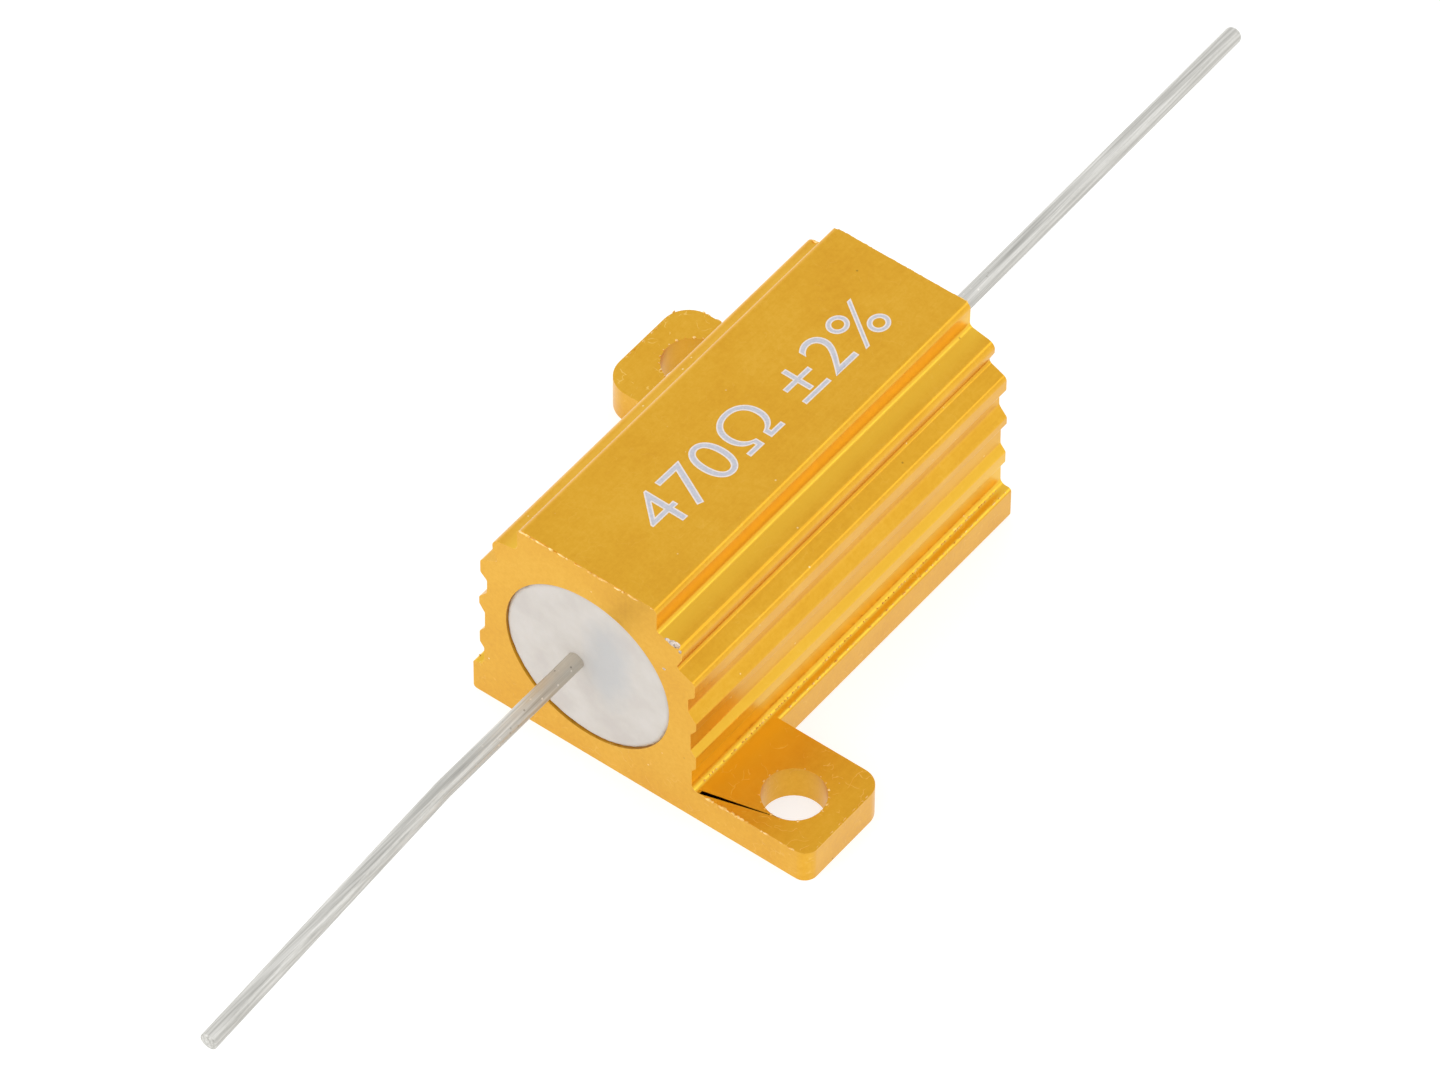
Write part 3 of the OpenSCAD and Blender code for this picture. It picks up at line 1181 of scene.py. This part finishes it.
@dataclass
class Lead:
    """A tinned wire welded to a cap, which leaves the potting with a slight bend.

    Sizes are in millimetres, and the waviness is a share of the radius.
    """

    side: Side
    exit_x: float
    straight: float
    tip_x: float
    tip_round: float
    radius: float = 0.29
    bead_radius: float = 0.55
    bead_length: float = 0.25
    fillet_radius: float = 0.45
    sink: float = 0.2
    bend_radius: float = 4.0
    steps: int = 320
    waviness: float = 0.02
    tip_room: float = 0.003

    def __post_init__(self) -> None:
        """Reads where the wire starts and ends from the frame."""
        self.node = f"{self.side.name.lower()}_lead"
        lo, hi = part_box(self.node)
        outwards = self.side is Side.REAR
        self.end, self.foot = (hi.y, lo.y) if outwards else (lo.y, hi.y)
        self.z = (lo.z + hi.z) / 2
        self.face = self.side.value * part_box("housing")[1].y

    def root(self, recipe: Recipe, slimmer: float) -> list[Socket]:
        """The part that sits in the potting: weld bead, its fillet and the straight wire.

        Args:
            recipe: The tree it is added to.
            slimmer: How much smaller every radius is made, in millimetres.

        Returns:
            The three meshes.
        """
        bead, fillet, wire = (
            (r - slimmer) * MM for r in (self.bead_radius, self.fillet_radius, self.radius)
        )
        out = self.side.value
        depth = abs(self.face - self.foot)
        rods = ((bead, bead, self.bead_length * MM), (fillet, wire, depth - self.sink * MM), (wire, wire, depth + MM))
        parts = []
        for near, far, length in rods:
            ends = (near, far) if out > 0 else (far, near)
            start = (self.exit_x * MM, self.foot if out > 0 else self.foot - length, self.z)
            parts.append(recipe.rod(ends[0], start, length, 40, ends[1]))
        return parts

    def build(self, tin: bpy.types.Material) -> None:
        """Makes the wire, dresses it and puts it in place of the plain one.

        Args:
            tin: The tinned finish.
        """
        bend = self.face + self.side.value * self.straight * MM
        points = [
            Vector((self.exit_x * MM, self.foot + self.side.value * 0.1 * MM, self.z)),
            Vector((self.exit_x * MM, bend, self.z)),
            Vector((self.tip_x * MM, self.end - self.side.value * self.tip_room * MM, self.z)),
        ]
        recipe = Recipe(f"{self.node}_wire", {
            "Radius": self.radius * MM, "Tip": self.tip_round * MM, "Waviness": self.waviness,
        })
        curve = recipe.node("GeometryNodeMeshToCurve", {"Mesh": recipe.value("Geometry")})
        soft = recipe.node("GeometryNodeFilletCurve", {0: curve, 1: 10, 2: self.bend_radius * MM}, mode="POLY")
        fine = recipe.node("GeometryNodeResampleCurve", {"Curve": soft, "Count": self.steps})
        place = add(recipe.tree, "GeometryNodeSplineParameter")
        left = recipe.math("SUBTRACT", recipe.node("GeometryNodeSplineLength"), place.outputs["Length"])
        gap = recipe.math("SUBTRACT", 1.0, recipe.math("DIVIDE", left, recipe.value("Tip"), clamp=True))
        rounding = recipe.math("POWER", recipe.math("SUBTRACT", 1.03, recipe.times(gap, gap)), 0.5)
        rounding = recipe.math("MINIMUM", rounding, 1.0)
        lumps = recipe.node("ShaderNodeTexNoise", {"Scale": 1100.0, "Detail": 2.0})
        wave = recipe.sum(recipe.times(recipe.sum(lumps, -0.5), recipe.value("Waviness")), 1.0)
        scale = recipe.times(recipe.times(rounding, wave), recipe.value("Radius"))
        ring = recipe.node("GeometryNodeCurvePrimitiveCircle", {"Resolution": 32, "Radius": 1.0}, mode="RADIUS")
        tube = {"Curve": fine, "Profile Curve": ring, "Scale": scale, "Fill Caps": True}
        wire = recipe.node("GeometryNodeCurveToMesh", tube)
        recipe.finish(recipe.union([wire, *self.root(recipe, 0.0)[:2]]), tin)
        obj = shaded(recipe.run(f"{self.node}_wire", chain(self.node, points, closed=False)), 50)
        dress(obj, "tinned_wire")
        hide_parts(self.node)


# ---------------------------------------------------------------- potting


@dataclass
class Potting:
    """Compound cast nearly flush with both ends of the bore, with an uneven rim. Sizes in millimetres."""

    leads: Sequence[Lead]
    element: Element
    sectors: int = 128
    rings: tuple[float, ...] = (
        0.045, 0.09, 0.105, 0.12, 0.14, 0.17, 0.22, 0.3, 0.4, 0.5, 0.6, 0.7, 0.8, 0.87, 0.91, 0.935, 0.955, 0.97,
        0.982, 0.992, 1.0,
    )
    rim_width: float = 0.14
    rim_drop: float = 0.06
    lift: float = 0.045
    swell: float = 0.02
    collar: float = 0.025
    unevenness: float = 0.014

    def __post_init__(self) -> None:
        """Reads the bore's radius and the faces' places from the frame."""
        lo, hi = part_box("potting")
        self.radius = hi.x - CLEARANCE * MM
        self.face = hi.y
        self.axis_z = (lo.z + hi.z) / 2

    def height(self, lead: Lead, spot: Vector) -> float:
        """How far the compound's face stands out at a point.

        Args:
            lead: The wire that leaves this face.
            spot: X and Z of the point, in metres.

        Returns:
            Its distance from the middle of the body, in metres.
        """
        radius = Vector((spot.x, spot.y - self.axis_z)).length / MM
        whole = self.radius / MM
        lumps = noise.noise(Vector((spot.x, lead.side.value, spot.y)) * 1.1 / MM)
        rough = noise.noise(Vector((spot.x, lead.side.value * 3, spot.y)) * 6 / MM)
        wall = max(0.0, 1 - (whole - radius) / (self.rim_width * (1 + 0.5 * lumps)))
        drop = self.rim_drop * (1 + 0.6 * rough + 0.5 * lumps) * wall**2
        near = (spot - Vector((lead.exit_x * MM, lead.z))).length / MM - lead.radius
        climb = self.collar * math.exp(-max(0.0, near) / 0.09)
        rise = self.swell * (1 - (radius / whole) ** 2)
        rise += self.lift + climb - drop
        return self.face + (rise + self.unevenness * (lumps + 0.3 * rough)) * MM

    def cast(self) -> bpy.types.Object:
        """Makes the closed outside of the casting.

        Returns:
            A solid plug, before the element and the wires are cut out of it.
        """
        mesh = bmesh.new()
        loops = []
        for lead in self.leads:
            wire = Vector((lead.exit_x * MM, lead.z))
            side = lead.side.value
            hub = mesh.verts.new((wire.x, side * self.height(lead, wire), wire.y))
            rows = []
            for t in self.rings:
                row = []
                for k in range(self.sectors):
                    angle = math.tau * k / self.sectors
                    rim = Vector((math.cos(angle), math.sin(angle))) * self.radius + Vector((0, self.axis_z))
                    spot = wire.lerp(rim, t)
                    row.append(mesh.verts.new((spot.x, side * self.height(lead, spot), spot.y)))
                rows.append(row)
            for k in range(self.sectors):
                after = (k + 1) % self.sectors
                mesh.faces.new((hub, rows[0][k], rows[0][after]))
                for inner, outer in zip(rows, rows[1:]):
                    mesh.faces.new((inner[k], outer[k], outer[after], inner[after]))
            loops.append(rows[-1])
        for k in range(self.sectors):
            after = (k + 1) % self.sectors
            mesh.faces.new((loops[0][k], loops[1][k], loops[1][after], loops[0][after]))
        bmesh.ops.recalc_face_normals(mesh, faces=mesh.faces)
        data = bpy.data.meshes.new("casting")
        mesh.to_mesh(data)
        mesh.free()
        return placed("casting_source", data)

    def build(self, compound: bpy.types.Material) -> None:
        """Casts the compound round the element and the wires, and puts it in place of the plain one.

        Args:
            compound: The compound's material.
        """
        element = self.element
        recipe = Recipe("potting_casting", {
            "Winding Radius": element.outside + CLEARANCE * MM, "Cap Radius": element.cap_radius,
        })
        around = recipe.rod(
            recipe.value("Winding Radius"), (0, -element.half_length, element.axis_z), 2 * element.half_length, 96
        )
        caps = recipe.rod(
            recipe.value("Cap Radius"), (0, -element.cap_face, element.axis_z), 2 * element.cap_face, 96
        )
        roots = [part for lead in self.leads for part in lead.root(recipe, 2 * CLEARANCE)]
        recipe.finish(recipe.cut(recipe.value("Geometry"), [around, caps, *roots]), compound)
        obj = shaded(recipe.run("potting_fill", self.cast()), 40)
        dress(obj, "potting_compound")
        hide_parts("potting")


# ---------------------------------------------------------------- marking


@dataclass
class Marking:
    """Value printed on the flat top in two layers of pale ink: plain numbers and signs. Sizes in millimetres."""

    words: str = "470Ω ±2%"
    cap_height: float = 1.73
    length: float = 10.9
    start: tuple[float, float] = (1.08, -5.17)
    end: tuple[float, float] = (1.25, 5.67)
    layers: tuple[tuple[float, float], ...] = ((-0.001, 0.011), (-0.02, 0.014))
    depth: float = 0.014

    def letters(self, thinner: float) -> bpy.types.Object:
        """Makes the letters as a closed mesh, one unit high and thick.

        Args:
            thinner: How much the strokes are pulled in or pushed out, in the font's own units.

        Returns:
            The letters.
        """
        curve = bpy.data.curves.new("marking", "FONT")
        curve.body = self.words
        curve.size = 1.0
        curve.extrude = 0.5
        curve.offset = thinner
        source = bpy.data.objects.new("marking_source", curve)
        bpy.context.scene.collection.objects.link(source)
        return baked("marking_layer", source)

    def build(self, inks: Sequence[bpy.types.Material]) -> None:
        """Lays the letters on the flat top: a wide light layer with a narrower grey one on it.

        Args:
            inks: The ink of each layer.
        """
        run = Vector((self.end[0] - self.start[0], self.end[1] - self.start[1], 0)).normalized()
        rise = Vector((-run.y, run.x, 0))
        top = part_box("housing")[1].z
        origin = Vector((self.start[0] * MM, self.start[1] * MM, top))
        joined = bmesh.new()
        frame_box = None
        for index, (thinner, thick) in enumerate(self.layers):
            layer = self.letters(thinner)
            points = [v.co for v in layer.data.vertices]
            if frame_box is None:
                frame_box = [(min(p[i] for p in points), max(p[i] for p in points)) for i in range(2)]
            (left, right), (foot, head) = frame_box
            tall, wide = self.cap_height * MM / (head - foot), self.length * MM / (right - left)
            for v in layer.data.vertices:
                u, w, h = (v.co.x - left) * wide, (v.co.y - foot) * tall, v.co.z + 0.5
                v.co = origin + run * u + rise * w + Vector((0, 0, (h * thick - self.depth) * MM))
            for polygon in layer.data.polygons:
                polygon.material_index = index
            joined.from_mesh(layer.data)
            bpy.data.objects.remove(layer)
        bmesh.ops.remove_doubles(joined, verts=joined.verts, dist=1e-8)
        mesh = bpy.data.meshes.new("marking")
        joined.to_mesh(mesh)
        joined.free()
        dress(placed("marking", mesh), None, *inks)


# ---------------------------------------------------------------- studio


@dataclass(frozen=True)
class SoftBox:
    """A broad square light: its name, its place and side in millimetres and its watts."""

    name: str
    place: tuple[float, float, float]
    size: float
    watts: float


@dataclass
class Studio:
    """Plain pale floor, soft white surround, two broad lights and the camera. Millimetres and degrees."""

    azimuth: float = 37.18
    elevation: float = 48.93
    roll: float = 0.50
    distance: float = 321.79
    aim: tuple[float, float, float] = (-0.265, -0.870, 3.371)
    lens: float = 269.3
    floor: str = "b4b4b3"
    floor_glow: float = 0.68
    horizon: float = 1.15
    overhead: float = 0.95
    lights: tuple[SoftBox, ...] = (
        SoftBox("key", (345.0, 293.0, 330.0), 80.0, 0.1),
        SoftBox("fill", (-250.0, -330.0, 340.0), 460.0, 0.5),
    )

    def build(self) -> None:
        """Lays the floor, hangs the lights and sets up the camera."""
        scene = bpy.context.scene
        scene.view_settings.view_transform = "Standard"
        scene.view_settings.look = "None"
        self.make_floor()
        self.make_surround(scene)
        for light in self.lights:
            self.hang(scene, light)
        self.make_camera(scene)

    def make_floor(self) -> None:
        """Lays a wide pale floor, softly lit from below as a light table is, under the mounting face."""
        mesh = bmesh.new()
        bmesh.ops.create_grid(mesh, x_segments=1, y_segments=1, size=1.5)
        data = bpy.data.meshes.new("floor")
        mesh.to_mesh(data)
        mesh.free()
        obj = placed("floor", data)
        material = bpy.data.materials.new("pale_floor")
        material.use_nodes = True
        shader = material.node_tree.nodes["Principled BSDF"]
        shader.inputs["Base Color"].default_value = linear(self.floor)
        shader.inputs["Roughness"].default_value = 0.9
        shader.inputs["Emission Color"].default_value = (1, 1, 1, 1)
        shader.inputs["Emission Strength"].default_value = self.floor_glow
        data.materials.append(material)

    def make_surround(self, scene: bpy.types.Scene) -> None:
        """Sets a white surround that is a little darker overhead.

        Args:
            scene: The scene.
        """
        world = bpy.data.worlds.new("studio")
        scene.world = world
        world.use_nodes = True
        tree = world.node_tree
        way = add(tree, "ShaderNodeTexCoord").outputs["Generated"]
        up = add(tree, "ShaderNodeSeparateXYZ", {0: way}).outputs[2]
        strength = add(
            tree, "ShaderNodeMapRange", {0: up, 1: 0.05, 2: 0.65, 3: self.horizon, 4: self.overhead}
        ).outputs[0]
        back = tree.nodes["Background"]
        back.inputs["Color"].default_value = (1, 1, 1, 1)
        tree.links.new(strength, back.inputs["Strength"])

    def hang(self, scene: bpy.types.Scene, box: SoftBox) -> None:
        """Hangs a broad light that faces the resistor.

        Args:
            scene: The scene.
            box: The light's place, size and power.
        """
        light = bpy.data.lights.new(box.name, "AREA")
        light.size = box.size * MM
        light.energy = box.watts
        obj = bpy.data.objects.new(box.name, light)
        scene.collection.objects.link(obj)
        obj.location = Vector(box.place) * MM
        obj.rotation_euler = (-obj.location).to_track_quat("-Z", "Y").to_euler()

    def make_camera(self, scene: bpy.types.Scene) -> None:
        """Places the camera round the aim point.

        Args:
            scene: The scene.
        """
        a, e, r = (math.radians(v) for v in (self.azimuth, self.elevation, self.roll))
        back = Vector((math.sin(a) * math.cos(e), -math.cos(a) * math.cos(e), math.sin(e)))
        right = (-back).cross(Vector((0, 0, 1))).normalized()
        up = right.cross(-back)
        side = right * math.cos(r) + up * math.sin(r)
        top = up * math.cos(r) - right * math.sin(r)
        place = Vector(self.aim) * MM + back * self.distance * MM
        camera = bpy.data.cameras.new("camera")
        camera.lens = self.lens
        camera.sensor_width = 36.0
        camera.clip_start, camera.clip_end = 0.01, 10.0
        obj = bpy.data.objects.new("camera", camera)
        scene.collection.objects.link(obj)
        turn = Matrix((side, top, back)).transposed().to_4x4()
        obj.matrix_world = Matrix.Translation(place) @ turn
        scene.camera = obj


# ---------------------------------------------------------------- main


def main() -> None:
    """Builds every sub-assembly in order and reports each piece."""
    logging.basicConfig(level=logging.INFO, format="%(name)s %(message)s")
    Studio().build()
    Housing().build()
    nodes = frame["nodes"]
    element = Element()
    element.build(Plain("drawn_alloy", "5f5b58", "8a8580", 1.0, 0.4, 14.0).build())
    dress(nodes["ceramic_core"], "core_ceramic", Plain("alumina", "e6e0d6", "f1ede5", 0.0, 0.6, 6.0).build())
    steel = Plain("plated_steel", "a5a29b", "c4c2bc", 1.0, 0.35, 10.0).build()
    for name in ("front_cap", "rear_cap"):
        dress(nodes[name], "cap_steel", steel)
    leads = (
        Lead(Side.FRONT, exit_x=-0.425, straight=6.3, tip_x=0.12, tip_round=0.04),
        Lead(Side.REAR, exit_x=0.1, straight=1.0, tip_x=-0.03, tip_round=0.2),
    )
    tin = Tinned("tinned_copper", face=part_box("housing")[1].y / MM).build()
    for lead in leads:
        lead.build(tin)
    potting = Potting(leads, element)
    front = leads[0]
    axis_z = potting.axis_z / MM
    shade_patch = (front.exit_x + 1.15, 0.0, axis_z + 0.6)
    potting.build(Compound("potting_compound_skin", shade_patch, axis_z, potting.radius / MM).build())
    Marking().build([
        Plain("pale_ink_edge", "dcd4d1", "e6deda", 0.0, 0.5, 12.0).build(),
        Plain("pale_ink", "b8b8c2", "c4c4cc", 0.0, 0.5, 12.0).build(),
    ])


if __name__ == "__main__":
    main()
